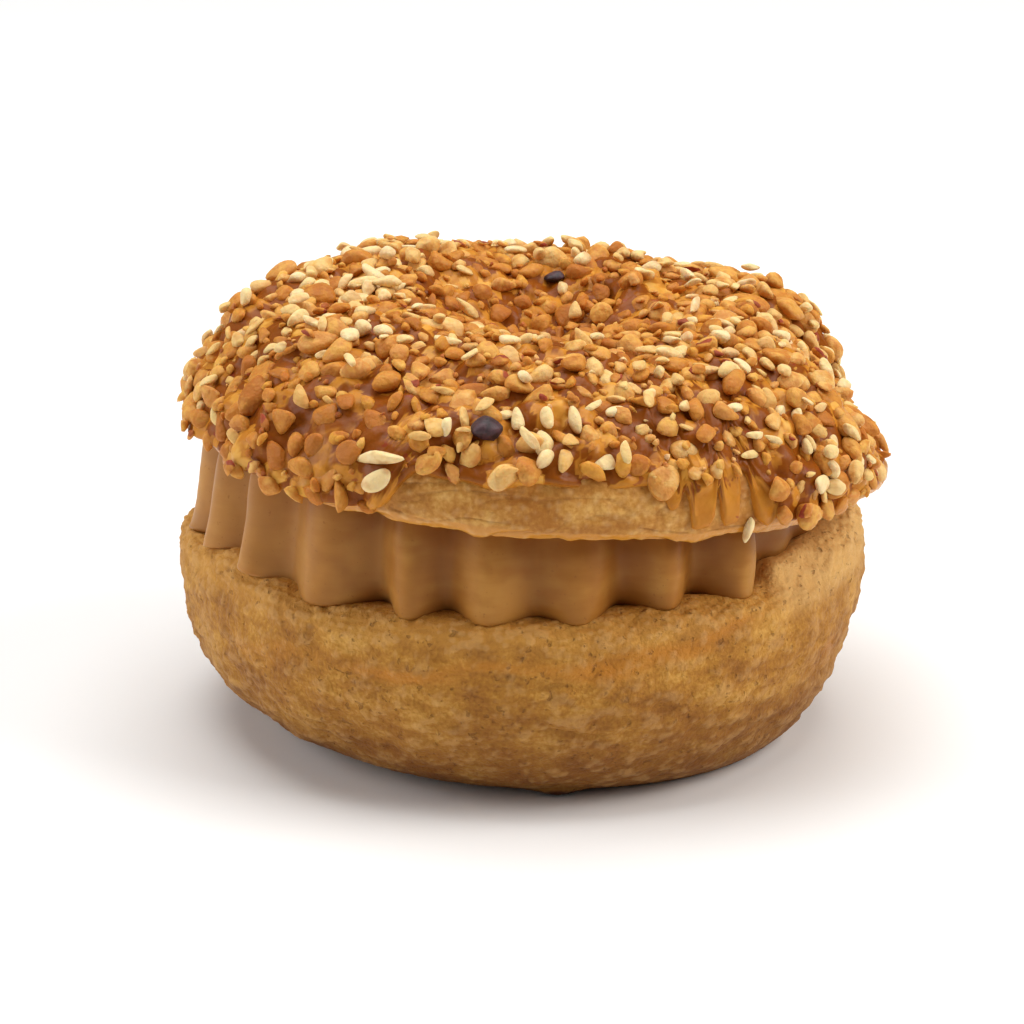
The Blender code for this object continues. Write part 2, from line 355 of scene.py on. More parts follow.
def curve_through(control, places):
    """Points at fractional places on smooth curves through each section's control points."""
    last = control.shape[1] - 1
    first = np.minimum(places.astype(int), last - 1)
    t = (places - first)[:, None]
    before = control[:, np.maximum(first - 1, 0)]
    here, after = control[:, first], control[:, first + 1]
    beyond = control[:, np.minimum(first + 2, last)]
    bend = (2 * before - 5 * here + 4 * after - beyond) * t**2
    twist = (3 * here - before - 3 * after + beyond) * t**3
    return 0.5 * (2 * here + (after - before) * t + bend + twist)


def base_spread(azimuth):
    return 1 + lobes(azimuth, (0.007, 2, 86), (0.006, 3, 15), (0.004, 5, -40))


def rim_height(azimuth):
    """Where the ribs of cream end. The dough tore upwards at the right and a little at the left."""
    raised = 1.7 * swell(azimuth, -60, 14) + 0.7 * swell(azimuth, 26, 9) + TORN * span(azimuth, 51, 100, 4)
    return RIM_HEIGHT + raised + lobes(azimuth, (0.15, 4, 10), (0.12, 7, 35))


def brow_height(azimuth):
    """The height of the rim's rounded outside. It lags behind the torn dough, which mounds up to the cream."""
    return rim_height(azimuth) - TORN * (span(azimuth, 51, 100, 4) - span(azimuth, 66, 102, 8))


def base_control(azimuth):
    """(radius, height) from the middle of the underside, up the flank and in to the middle of the seat."""
    spread = base_spread(azimuth)
    flare = spread + 0.015 * swell(azimuth, -88, 20)
    foot = FOOT_RADIUS + FOOT_BULGE * (swell(azimuth, 62, 42) - 0.4 * swell(azimuth, -50, 30))
    widest = WIDEST_HEIGHT + 3.0 * swell(azimuth, 88, 35) - 1.5 * swell(azimuth, -90, 40)
    rim, brow = rim_height(azimuth), brow_height(azimuth)
    profile = [(0.0, 0.0), (0.55 * foot, 0.0)]
    for i in range(FLANK_STEPS + 1):
        t = 0.5 * math.pi * i / FLANK_STEPS
        radius = foot + (WIDEST_RADIUS - foot) * math.sin(t)
        profile.append((radius * spread, widest * (1 - math.cos(t)) ** 0.9))
    outer, crest, inner = RIM_RADII
    profile += [(SHOULDER_RADIUS * flare, brow - SHOULDER_DROP), (outer * flare, brow - 1.2)]
    profile += [(crest * flare, 0.7 * brow + 0.3 * rim - 0.3), (inner * spread, rim)]
    near, middle, far = SEAT_RADII
    profile += [(near, rim), (middle, 0.5 * (rim + SEAT_HEIGHT)), (far, SEAT_HEIGHT), (0.0, SEAT_HEIGHT)]
    full = [np.broadcast_arrays(radius, height, azimuth)[:2] for radius, height in profile]
    return np.stack([np.stack([r[:, 0], h[:, 0]], axis=-1) for r, h in full], axis=1)


BASE_ROWS = np.concatenate([
    np.linspace(0, 2, 14, endpoint=False),
    np.linspace(2, 9, 76, endpoint=False),
    np.linspace(9, 13, 28, endpoint=False),
    np.linspace(13, 15, 10, endpoint=False),
    np.linspace(15, 17, 4),
])
base_azimuth = turns(530)
base_curve = curve_through(base_control(base_azimuth), BASE_ROWS)
base_plain = at(base_azimuth, base_curve[..., 0], np.maximum(base_curve[..., 1], 0.0))
low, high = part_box("base_shell")
print("base solid", (np.array(high - low) / MM).round(1), "skin", np.ptp(base_plain, axis=(0, 1)).round(1))

# %% [markdown]
# ## The base's crust
# Baked choux isn't smooth. It swells in soft pillows, it wrinkles as it rises, its skin is made of
# fine crumbs, and steam leaves pores and short cracks. Each of these is a height in millimetres, and
# their sum moves the skin in and out. The same heights are kept on the mesh, so that the colour can
# follow them: the raised crumbs get a painted highlight and the pores and cracks a painted shade.

# %% Base relief
def base_relief(points):
    """How far the crust stands out, and how much of that is holes and how much is crumbs."""
    flank = step(points[..., 2], 0.5, 5.0)
    shoulder = step(points[..., 2], 20.5, 24.0)
    pillows = 0.45 * lumps(points, 8.0) + 0.28 * lumps(points, 3.6, shift=7.0)
    wrinkles = 0.36 * lumps(points, 1.9, stretch=(1.5, 1.5, 0.9), shift=3.0)
    middle, _ = cells(points, 1.1)
    crumbs = (0.34 + 0.36 * shoulder) * (0.55 - middle)
    pore_middle, _ = cells(points, 2.6)
    few = step(lumps(points, 7.0, shift=20.0), 0.0, 0.4)
    pores = 0.3 * few * (1 - step(pore_middle, 0.05, 0.3))
    vein = np.abs(lumps(points, 4.2, stretch=(1.6, 1.6, 0.7), shift=31.0))
    cracks = 0.22 * (1 - step(vein, 0.0, 0.09)) * step(lumps(points, 5.0, shift=12.0), 0.05, 0.3)
    outside = 0.3 + 0.7 * step(np.hypot(points[..., 0], points[..., 1]), 38.0, 40.5)
    outside = np.where(points[..., 2] > 20.0, outside, 1.0)
    rough = flank * (pillows + wrinkles - 0.3) + (0.25 + 0.75 * flank) * (crumbs - pores - cracks)
    return rough * outside, pores + cracks, crumbs + 0.5 * wrinkles


base_height, base_holes, base_crumb = base_relief(base_plain)
base_grid = base_plain + outward(base_plain) * base_height[..., None]
base_grid[..., 2] = np.maximum(base_grid[..., 2], 0.0)
print("base relief from", base_height.min().round(2), "to", base_height.max().round(2), "mm")

# %% [markdown]
# A dark drop of butter and sugar has run out under the front and baked hard there. It is only a swell at
# the foot. The browned streaks on the flank are fields too: one swell round the ring and one in height.

# %% Drop and browned streaks
DROP = {"azimuth": 7.0, "width": 5.0, "reach": 2.0, "height": 1.6}
STREAKS = (  # azimuth, width in degrees, height in mm, depth in mm, strength
    (-21, 12, 18.8, 1.3, 0.9),
    (-6, 8, 20.0, 1.1, 0.6),
    (11, 9, 19.6, 1.5, 1.0),
    (24, 10, 21.3, 1.3, 1.0),
    (36, 8, 22.6, 1.0, 0.7),
    (-47, 12, 17.5, 2.4, 0.6),
    (66, 14, 14.0, 2.6, 0.6),
    (112, 24, 20.0, 2.0, 0.8),
    (-120, 26, 18.0, 2.2, 0.7),
    (175, 22, 21.0, 2.0, 0.8),
)
near_foot = swell(base_azimuth, DROP["azimuth"], DROP["width"])
near_foot = near_foot * (1 - step(base_plain[..., 2], 0.3, DROP["height"]))
near_foot = near_foot * step(np.hypot(base_plain[..., 0], base_plain[..., 1]), 20.0, 26.0)
away = at(base_azimuth, 1.0, 0.0)
base_grid = base_grid + away * (DROP["reach"] * near_foot)[..., None]


def streaks(azimuth, height):
    """Where the crust has browned in level streaks."""
    bent = height + 0.4 * lobes(azimuth, (1.0, 9, 20), (0.7, 14, 5))
    parts = [s * swell(azimuth, a, w) * np.exp(-(((bent - h) / d) ** 2)) for a, w, h, d, s in STREAKS]
    return np.clip(sum(parts), 0, 1)


base_brown = streaks(base_azimuth, base_plain[..., 2])
base_torn = span(base_azimuth, 52, 102, 8) * step(base_plain[..., 2], 20.0, 24.0)
# pale where the dough tore, plus painted light on the left and right sides
torn_pale_and_side_light = 0.6 * base_torn + 0.15 * swell(base_azimuth, 92, 30) + 0.1 * swell(base_azimuth, -92, 26)
base = ring_piece(
    "choux_base", base_grid, holes=base_holes, crumb=base_crumb, brown=base_brown, drop=near_foot,
    pale=np.clip(torn_pale_and_side_light, 0, 1),
)

# %% [markdown]
# ## Baked choux
# The crust is dull and dry. Its colour wanders between tan and gold over a few millimetres, turns
# orange-brown in the streaks, pales on the crumbly shoulder below the cream and where the dough tore,
# and carries painted light on the left and right sides, painted shade that darkens it towards the foot
# and in the pores and cracks, and painted highlights on the raised crumbs. Fine grain in the bump
# stands for crumbs too small to model.

# %% Base finish
choux = Finish("baked_choux", Roughness=0.62, Specular_IOR_Level=0.25)
height = choux.node("ShaderNodeSeparateXYZ", {}, {0: choux.place}, output="Z")
patches = choux.grain(6.0, 3.0, stretch=(1.4, 1.4, 0.9))
streaky = choux.grain(1.8, 4.0, stretch=(1.9, 1.9, 0.8))
fine = choux.grain(0.5, 3.0)
blend = 0.40 * patches + 0.32 * streaky + 0.28 * fine
tan = choux.ramp(
    blend,
    (0.36, paint(136, 84, 26)),
    (0.46, paint(164, 108, 36)),
    (0.54, paint(182, 126, 46)),
    (0.64, paint(208, 156, 74)),
)
shoulder = height.between(20.5, 24.0)
tan = choux.mix(0.5 * shoulder, tan, paint(204, 146, 66))
# the torn dough's pale inside, and painted light on the left and right sides
tan = choux.mix(choux.field("pale"), tan, paint(226, 180, 112))
browned = (choux.field("brown") + 1.2 * (streaky - 0.5)).between(0.2, 1.0)
tan = choux.mix(0.75 * browned, tan, paint(188, 118, 30))
# painted shade: darker towards the foot, where the lower flank turns under
painted_foot_shade = (height + 8.0 * (patches - 0.5)).between(20.0, 1.0)
tan = choux.mix(0.65 * painted_foot_shade, tan, paint(110, 60, 18))
tan = choux.mix(choux.field("drop").between(0.2, 0.7), tan, paint(70, 30, 14))
# painted highlight on the raised crumbs
tan = choux.mix(choux.field("crumb").between(0.0, 0.16) * 0.3, tan, paint(214, 168, 106))
# painted shade in the pores and cracks
dark = choux.field("holes").between(0.04, 0.4)
tan = choux.mix(0.5 * dark, tan, paint(104, 62, 28))
# painted shade in the tiny pores, which the bump also sinks
tiny_pores = choux.grain(0.9, 2.0).between(0.36, 0.28)
tan = choux.mix(0.35 * tiny_pores, tan, paint(110, 66, 30))
relief = 0.6 * fine + 0.4 * choux.grain(1.4, 3.0) - 0.35 * tiny_pores
choux.drive(Base_Color=tan, Roughness=0.66 - 0.18 * browned, Normal=choux.bump(relief, 0.5))
choux.dress(base, "base_shell", "baked_choux")

# %% [markdown]
# ## Piped cream
# The cream was piped as one thick ring of touching ribs and pressed under the lid. Between the ribs are
# narrow upright grooves. A cosine with a power below one gives broad ribs and narrow grooves. The
# spacing drifts, because a hand piped it, and one rib at the right is dented inwards.

# %% Cream shape
FLUTES = 23
RIDGE_RADIUS = 39.8
FLUTE_DEPTH = 3.0
GROOVE_WEAR = 0.8
TOE = 0.4
SKIRT = 2.0  # how much further each rib's foot spreads at the left
BELLY = 0.5
LEAN = math.radians(4.6)  # the lid leans down to the right
LID_SHIFT = np.array([1.4, 0.0, 36.0])
SINK = 0.4  # how far the cream's ends bed into the dough
SET_BACK = 3.0  # how much further in the cream lies at the right


def flute(azimuth, wear):
    """1 on a rib and 0 in the groove beside it, whose bottom is rounded by wear."""
    drift = 6.2 - 2.2 * swell(azimuth, -27, 10) + 1.5 * swell(azimuth, -52, 12)
    wave = np.cos(np.radians(0.5 * FLUTES * (azimuth + drift)))
    return (np.sqrt(wave**2 + wear**2) - wear) / (math.sqrt(1 + wear**2) - wear)


def cream_grid(azimuth, rows):
    back = span(azimuth, 50, 104, 7)
    ridge = RIDGE_RADIUS * (1 + lobes(azimuth, (0.006, 2, 60), (0.005, 3, 100))) - SET_BACK * back
    depth = FLUTE_DEPTH * (1 + lobes(azimuth, (0.2, 5, -38), (0.15, 8, 24))) * (1 - 0.7 * back)
    climb = np.linspace(0, 1, rows)[None, :]
    wall = ridge - depth * (1.05 - 0.2 * climb) * (1 - flute(azimuth, GROOVE_WEAR))
    toe = TOE + SKIRT * span(azimuth, -112, -44, 10)
    radius = wall + toe * (1 - climb) ** 3 + BELLY * np.sin(np.pi * climb)
    undercut = 0.1 + (0.7 + lobes(azimuth, (0.4, 7, -35))) * (1 - flute(azimuth, GROOVE_WEAR))
    radius = radius - 0.8 * climb**6 - undercut * (1 - climb) ** 12
    ends = np.array([0.0, 0.5])[None, :] * wall[:, :1]
    radius = np.concatenate([ends, radius, ends[:, ::-1]], axis=1)
    climb = np.concatenate([[0, 0], climb[0], [1, 1]])[None, :]
    across = radius * np.sin(np.radians(azimuth))
    ceiling = LID_SHIFT[2] - (across - LID_SHIFT[0]) * math.tan(LEAN) + SINK
    floor = rim_height(azimuth) - SINK
    return at(azimuth, radius, floor + climb * (ceiling - floor)), climb


cream_azimuth = turns(FLUTES * 30)
cream_plain, cream_climb = cream_grid(cream_azimuth, 46)
side = step(cream_climb, 0.0, 0.05) * (1 - step(cream_climb, 0.95, 1.0))
smears = 0.04 * lumps(cream_plain, 1.6, stretch=(3.0, 3.0, 0.9)) + 0.25 * lumps(cream_plain, 5.0, shift=9.0)
cream_points = cream_plain + outward(cream_plain) * (side * smears)[..., None]
groove = 1 - flute(cream_azimuth, GROOVE_WEAR) + 0.0 * cream_climb
everywhere = 0.0 * groove
# groove, climb, left and back are kept for the finish, which paints shade and light by them
cream = ring_piece(
    "piped_cream", cream_points, groove=groove, climb=cream_climb + everywhere,
    left=swell(cream_azimuth, -68, 34) + everywhere, back=span(cream_azimuth, 52, 100, 4) + everywhere,
)

# %% [markdown]
# ## Cream finish
# Praline butter cream is smooth and satin, light brown, and lets a little light into itself. A constant
# subsurface share gives the soft edge between light and shade on each rib. Its colour and roughness
# wander in faint level smears left by the nozzle, and the colour also carries painted shade in the
# grooves, under the lid and where the cream lies set back at the right, and painted light at the left.

# %% Cream finish
satin = Finish(
    "praline_cream", Specular_IOR_Level=0.15, Subsurface_Weight=0.25, Subsurface_Radius=(1.0, 0.55, 0.3), Subsurface_Scale=1.5 * MM
)
smear = satin.grain(1.8, 3.0, stretch=(3.5, 3.5, 0.8))
cloud = satin.grain(6.0, 2.0)
beige = satin.ramp(
    0.25 * smear + 0.75 * cloud,
    (0.38, paint(154, 99, 36)),
    (0.50, paint(166, 110, 44)),
    (0.62, paint(182, 128, 58)),
)
# painted shade in the grooves between the ribs
beige = satin.mix(0.5 * satin.field("groove"), beige, paint(118, 62, 18))
# painted shadow of the lid, darkening the top of the cream
beige = satin.mix(0.5 * satin.field("climb").between(0.45, 1.0), beige, paint(108, 54, 16))
# painted light on the cream's left side
beige = satin.mix(0.3 * satin.field("left"), beige, paint(206, 156, 98))
# painted shade where the cream lies set back under the lid at the right
beige = satin.mix(0.4 * satin.field("back"), beige, paint(110, 58, 20))
specks = satin.grain(0.45, 1.0).between(0.70, 0.76)
beige = satin.mix(0.35 * specks, beige, paint(120, 74, 38))
silk = 0.5 * smear + 0.3 * satin.grain(0.8, 2.0)
satin.drive(Base_Color=beige, Roughness=0.42 + 0.2 * (cloud - 0.5), Normal=satin.bump(silk, 0.06))
satin.dress(cream, "praline_cream", "praline_cream")

# %% [markdown]
# ## The lid's shape
# The lid is the upper half of the ring: a fat rounded tyre whose hole has baked shut to a dimple. Its
# upper side is measured by a way that runs from 0 in the dimple over the crest to 1 at the cut edge.
# One function gives a point there and another raises it, so the dough, the caramel and every nut can
# be laid over each other with the same two numbers. The whole lid leans, so its points are turned and
# shifted last.

# %% Lid surface
EDGE_RADIUS = 42.2
LID_WIDEST_RADIUS = 43.0
LID_WIDEST_HEIGHT = 2.2
CREST_RADIUS = 20.5
CREST_HEIGHT = 15.6
DIMPLE_DEPTH = 7.5
CREST_WAY = 0.4
WIDEST_WAY = 0.9
LEANING = np.array([
    [math.cos(LEAN), 0.0, math.sin(LEAN)],
    [0.0, 1.0, 0.0],
    [-math.sin(LEAN), 0.0, math.cos(LEAN)],
])


def leaned(points):
    """Lid points turned and shifted to where the lid lies."""
    return points @ LEANING.T + LID_SHIFT


def lid_spread(azimuth):
    oval = lobes(azimuth, (0.008, 2, 90), (0.006, 3, -20), (0.005, 5, 30))
    return 1 + oval + 0.035 * swell(azimuth, 78, 20) + 0.015 * swell(azimuth, -88, 24)


def lid_crest(azimuth):
    """The height of the crest over the cut face, highest at the back right."""
    return CREST_HEIGHT + 0.5 * swell(azimuth, 150, 30) - 0.4 * swell(azimuth, -125, 25)


def lid_fold(azimuth, climb):
    """How far the flank is pinched in: creases at the right and left, and a hump at the back right."""
    climb = np.clip(climb, 0, 1)
    crease = 8.0 * swell(azimuth, 106, 12) + 7.5 * swell(azimuth, 84, 15) + 2.8 * swell(azimuth, -96, 32)
    hump = 3.8 * swell(azimuth, 122, 13)
    pinched = crease * np.sin(np.pi * climb**0.85) ** 1.5
    return pinched - hump * np.sin(np.pi * climb**1.5) ** 1.5


def lid_profile(azimuth, way):
    """(radius, height) on the lid's upper side."""
    azimuth, way = np.broadcast_arrays(azimuth, way)
    crest, bottom = lid_crest(azimuth), CREST_HEIGHT - DIMPLE_DEPTH
    share = np.clip(way / CREST_WAY, 0, 1)
    climb = 0.5 - 0.5 * np.cos(np.pi * share**0.8)
    t = 0.5 * np.pi * np.clip((way - CREST_WAY) / (WIDEST_WAY - CREST_WAY), 0, 1)
    drop = np.clip((way - WIDEST_WAY) / (1 - WIDEST_WAY), 0, 1)
    reach = LID_WIDEST_RADIUS - CREST_RADIUS
    flank = CREST_RADIUS + reach * np.sin(t) ** 0.95 - (LID_WIDEST_RADIUS - EDGE_RADIUS) * drop**2
    fall = (crest - LID_WIDEST_HEIGHT) * np.clip(np.cos(t), 0, 1) ** 0.9
    outside = way >= CREST_WAY
    fold = np.where(outside, lid_fold(azimuth, 1 - (way - CREST_WAY) / (1 - CREST_WAY)), 0)
    radius = np.where(outside, flank, CREST_RADIUS * share) * lid_spread(azimuth) - fold
    flank_height = fall + LID_WIDEST_HEIGHT * (1 - drop)
    return radius, np.where(outside, flank_height, bottom + (crest - bottom) * climb)


def lid_surface(azimuth, way, lift=0.0):
    """Points on the lid's upper side, raised square to it, before the lid leans."""
    radius, height = lid_profile(azimuth, way)
    before = np.stack(lid_profile(azimuth, np.maximum(way - 0.01, 0)))
    after = np.stack(lid_profile(azimuth, np.minimum(way + 0.01, 1)))
    along = after - before
    along = along / np.linalg.norm(along, axis=0)
    return at(azimuth, radius - lift * along[1], height + lift * along[0])


edge = leaned(lid_surface(turns(8)[:, 0], np.ones(8)))
print("lid's cut edge lies between", edge[:, 2].min().round(1), "and", edge[:, 2].max().round(1), "mm")

# %% [markdown]
# ## The lid's crust
# Most of the lid is under nuts. What shows is a bare band along the front, the bottom of the dimple and
# the ragged cut edge, where the knife pulled small teeth out of the dough. The edge moves by noise that
# is read along the ring, strongest right at the edge and gone a few millimetres above it.

# %% Lid skin
CUT_ROWS = np.array([0.0, 0.4, 0.7, 0.85, 0.93, 0.975])
LID_WAYS = np.concatenate([
    np.linspace(1.0, 0.76, 46, endpoint=False),
    np.linspace(0.76, 0.14, 10, endpoint=False),
    np.linspace(0.14, 0.0, 9),
])
lid_azimuth = turns(540)
upper = lid_surface(lid_azimuth, LID_WAYS[None, :])
rim = np.hypot(upper[:, :1, 0], upper[:, :1, 1])
cut = at(lid_azimuth, rim * CUT_ROWS[None, :], 0.0)
lid_plain = np.concatenate([cut, upper], axis=1)
closeness = np.concatenate([CUT_ROWS**12, 1 - step(1 - LID_WAYS, 0.0, 0.07)])[None, :]
rim_line = at(lid_azimuth, EDGE_RADIUS, 0.0)
teeth = 0.45 * lumps(rim_line, 4.2) + 0.14 * lumps(rim_line, 1.5, shift=5.0) + 0.4 * lumps(rim_line, 9.0)
lid_middle, _ = cells(lid_plain, 1.1)
lid_crumb = 0.16 * (0.55 - lid_middle)
lid_crease = np.abs(lumps(lid_plain, 3.0, stretch=(2.5, 2.5, 0.6), shift=4.0))
lid_crack = 0.16 * (1 - step(lid_crease, 0.0, 0.08))
swollen = 0.22 * lumps(lid_plain, 4.0, shift=2.0) + 0.12 * lumps(lid_plain, 1.6, shift=8.0)
lid_height = (swollen + lid_crumb - lid_crack) * np.concatenate([0.3 * CUT_ROWS, np.ones(len(LID_WAYS))])
lid_grid = lid_plain + outward(lid_plain) * lid_height[..., None]
lid_grid[..., 2] += teeth * closeness
edge_glaze = np.concatenate([0 * CUT_ROWS, step(LID_WAYS, 0.925, 0.965)])[None, :] + 0 * lid_height
lid = ring_piece(
    "choux_lid", leaned(lid_grid), crumb=lid_crumb + 0 * lid_height, holes=lid_crack, edge=edge_glaze
)

# %% [markdown]
# ## Glazed dough
# The bare band is the same dough as the base, paler and drier at the top, and along the edge it shines
# golden where caramel has run over it. That shine is a coat whose weight follows the edge field. Its
# cracks carry painted shade and its raised crumbs a painted highlight.

# %% Lid finish
golden = Finish("glazed_choux", Specular_IOR_Level=0.3, Coat_Roughness=0.25)
drift = golden.grain(4.0, 3.0, stretch=(2.0, 2.0, 0.8))
grit = golden.grain(0.6, 3.0)
dough = golden.ramp(
    0.6 * drift + 0.4 * grit,
    (0.38, paint(168, 106, 36)),
    (0.50, paint(190, 130, 54)),
    (0.62, paint(214, 162, 84)),
)
glazed = (golden.field("edge") + 0.9 * (drift - 0.5)).between(0.2, 0.8)
dough = golden.mix(0.85 * glazed, dough, paint(204, 134, 30))
# painted shade in the dough's cracks
dough = golden.mix(0.6 * golden.field("holes").between(0.05, 0.25), dough, paint(130, 74, 28))
# painted highlight on the raised crumbs
dough = golden.mix(golden.field("crumb").between(0.0, 0.09) * 0.3, dough, paint(240, 202, 142))
golden.drive(
    Base_Color=dough,
    Roughness=0.6 - 0.3 * glazed,
    Coat_Weight=0.5 * glazed,
    Normal=golden.bump(0.6 * grit + 0.4 * golden.grain(1.5, 2.0), 0.22),
)
golden.dress(lid, "lid_shell", "glazed_choux")

# %% [markdown]
# ## The caramel bed
# The nuts were rolled in caramel, which filled the gaps between them and set hard. Its top is pebbled,
# because nuts lie buried in it, so its relief is a field of small domes: high in the middle of each
# Voronoi cell and low at the walls. It thins out to nothing at both hems, and at the front right it has
# run down over the bare band in a few short drips.

# %% Bed shape
BED_THICKNESS = 0.5
BED_START = 0.085
PEBBLE = 3.4  # width of a buried nut
PEBBLE_RISE = 1.5
HEM = 0.965
HEAPS = (  # azimuth, width, way, width in way, height of a heap or of a hollow in the nuts
    (-90, 14, 0.62, 0.09, 2.4), (-100, 10, 0.50, 0.08, 0.8), (30, 14, 0.60, 0.10, 0.7), (-50, 16, 0.58, 0.08, 0.8),
    (100, 12, 0.62, 0.12, -0.9), (128, 14, 0.55, 0.10, 0.7), (2, 12, 0.68, 0.08, 0.6), (-20, 14, 0.60, 0.08, -0.5),
)
DRIPS = ((21, 0.5, 0.05), (26, 1.3, 0.11), (31, 1.0, 0.12), (37, 1.2, 0.10))  # azimuth, half width, length


def nut_hem(azimuth):
    """The way at which the nuts end: high over the bare band in front, low elsewhere."""
    bare = 0.155 * span(azimuth, -19, 34, 9) + 0.03 * span(azimuth, 36, 60, 8)
    return HEM - bare - lobes(azimuth, (0.008, 6, 20), (0.006, 11, 5), (0.005, 23, 0), (0.004, 37, 8))


def bed_hem(azimuth):
    """The way at which the caramel ends: at the nuts, and further down where a drip ran over the band."""
    run = sum(length * span(azimuth, centre - width, centre + width, 1.4) for centre, width, length in DRIPS)
    return np.minimum(0.985, nut_hem(azimuth) + run)


def bed_level(azimuth, way, surface):
    """The caramel's thickness over points of the lid, without the buried nuts, and how near its hems are."""
    from_hem = np.minimum((bed_hem(azimuth) - way) * 75, (way - BED_START) * 45)
    rounding = np.sqrt(np.clip(1 - (1 - np.clip(from_hem / 1.8, 0, 1)) ** 2, 0, 1))
    level = BED_THICKNESS + 1.2 * lumps(surface, 10.0) + 0.9 * lumps(surface, 4.8, shift=11.0)
    level = level + sum(rise * swell(azimuth, a, w) * swell(way, y, h) for a, w, y, h, rise in HEAPS)
    return np.maximum(level, 0.2) * rounding, rounding


def bed_lift(azimuth, way, surface):
    """How far the caramel's top stands above the lid, and what each buried nut looks like."""
    level, rounding = bed_level(azimuth, way, surface)
    middle, tone = cells(surface, PEBBLE)
    small, small_tone = cells(surface + 5.0, 0.5 * PEBBLE)
    dripping = step(way - nut_hem(azimuth), 0.0, 0.015)
    smooth = np.maximum(0.8 * swell(azimuth, -38, 12) * swell(way, 0.78, 0.09), dripping)
    dome = PEBBLE_RISE * ((0.6 - 1.25 * middle**2) + 0.35 * (0.5 - 1.2 * small**2))
    # how far into the creases between buried nuts; the finish darkens these with thicker caramel and painted shade
    depth = np.clip(middle + 0.35 * small - 0.1, 0, 1) * (1 - smooth)
    tone = (0.7 * tone + 0.3 * small_tone) * (1 - smooth) + 0.1 * smooth + 0.35 * dripping
    return level + (1 - smooth) * dome * rounding, tone, depth, rounding


bed_azimuth = turns(560)
top_share = np.linspace(1, 0, 96)[None, :]
bed_way = BED_START + (bed_hem(bed_azimuth) - BED_START) * top_share
bed_floor = lid_surface(bed_azimuth, bed_way)
bed_height, bed_tones, bed_creases, bed_round = bed_lift(bed_azimuth, bed_way, bed_floor)
bed_top = lid_surface(bed_azimuth, bed_way, np.maximum(bed_height, 0.02))
under_share = np.linspace(0.005, 0.995, 7)[None, :]
under_way = BED_START + (bed_hem(bed_azimuth) - BED_START) * under_share
bed_under = lid_surface(bed_azimuth, under_way, -0.35)
bed_grid = leaned(np.concatenate([bed_top, bed_under], axis=1))
bed = ring_piece(
    "caramel_bed", bed_grid, closed=True,
    tone=np.concatenate([bed_tones, 0 * under_way], axis=1),
    depth=np.concatenate([bed_creases, 0 * under_way + 1], axis=1),
    thin=np.concatenate([1 - bed_round, 0 * under_way], axis=1),
)

# %% [markdown]
# ## Caramel
# Set caramel is glossy and clear amber, deep where it is thick and gold where a nut lies close below it.
# The dome field gives that depth: light on the crests, orange-brown between them, partly as thicker
# caramel and partly as painted shade in the creases between the buried nuts. A clear coat on top
# carries the sharp highlights.

# %% Caramel finish
caramel = Finish(
    "caramel_bed", Coat_Weight=0.08, Coat_Roughness=0.1, Specular_IOR_Level=0.12,
    Subsurface_Weight=0.12, Subsurface_Radius=(1.0, 0.45, 0.15), Subsurface_Scale=1.2 * MM,
)
swirl = caramel.grain(2.4, 3.0)
buried = caramel.ramp(
    caramel.field("tone") + 0.5 * (swirl - 0.5),
    (0.05, paint(136, 70, 10)),
    (0.30, paint(200, 133, 45)),
    (0.50, paint(186, 117, 35)),
    (0.72, paint(218, 156, 64)),
    (0.95, paint(226, 172, 84)),
)
# darker between the domes: partly thicker caramel, partly painted shade in the creases between buried nuts
deep = (caramel.field("depth") + 0.5 * (swirl - 0.5)).between(0.7, 1.15)
amber = caramel.mix(0.55 * deep, buried, paint(142, 74, 18))
amber = caramel.mix(0.5 * caramel.field("thin"), amber, paint(196, 128, 42))
berry = caramel.grain(1.7, 2.0).between(0.66, 0.72)
amber = caramel.mix(0.6 * berry, amber, paint(134, 44, 30))
rough_spots = caramel.grain(1.1, 2.0)
caramel.drive(
    Base_Color=amber,
    Roughness=0.34 + 0.3 * rough_spots.between(0.45, 0.7),
    Normal=caramel.bump(0.6 * rough_spots + 0.4 * swirl, 0.25),
)
caramel.dress(bed, "nut_crust", "caramel_nuts")

# %% [markdown]
# ## One chopped nut
# A chopped nut is a small block with a few flat cuts and worn edges. Planes set round the middle cut
# such a block out of space: in each direction the nearest plane ends it. Taking a soft minimum instead
# of the sharp one wears the edges down, and the power in it says how much. Every nut starts from the
# same ball of points, so hundreds of different ones can be worked out in one array.

# %% Ball and chips
def ball(level):
    """The corners and faces of a ball made of triangles."""
    mesh = bmesh.new()
    bmesh.ops.create_icosphere(mesh, subdivisions=level, radius=1.0)
    corners = np.array([v.co for v in mesh.verts])
    faces = np.array([[v.index for v in f.verts] for f in mesh.faces])
    mesh.free()
    return corners, faces


def even_directions(count):
    """Directions spread evenly over a sphere."""
    index = np.arange(count) + 0.5
    polar = np.arccos(1 - 2 * index / count)
    golden_turn = math.pi * (1 + math.sqrt(5)) * index
    return np.stack([np.cos(golden_turn) * np.sin(polar), np.sin(golden_turn) * np.sin(polar), np.cos(polar)], -1)


def chip(rng, directions, planes, cuts, wear):
    """One nut's points: planes near the surface, of which a few cut deep, with edges worn by wear."""
    normals = even_directions(planes) + rng.normal(0, 0.3, (planes, 3))
    normals /= np.linalg.norm(normals, axis=1, keepdims=True)
    offsets = rng.uniform(0.75, 1.0, planes)
    offsets[rng.choice(planes, cuts, replace=False)] = rng.uniform(0.45, 0.7, cuts)
    facing = np.clip(directions @ normals.T, 0, None) / offsets
    reach = (facing**wear).sum(axis=1) ** (-1 / wear)
    return directions * (reach / reach.max())[:, None]


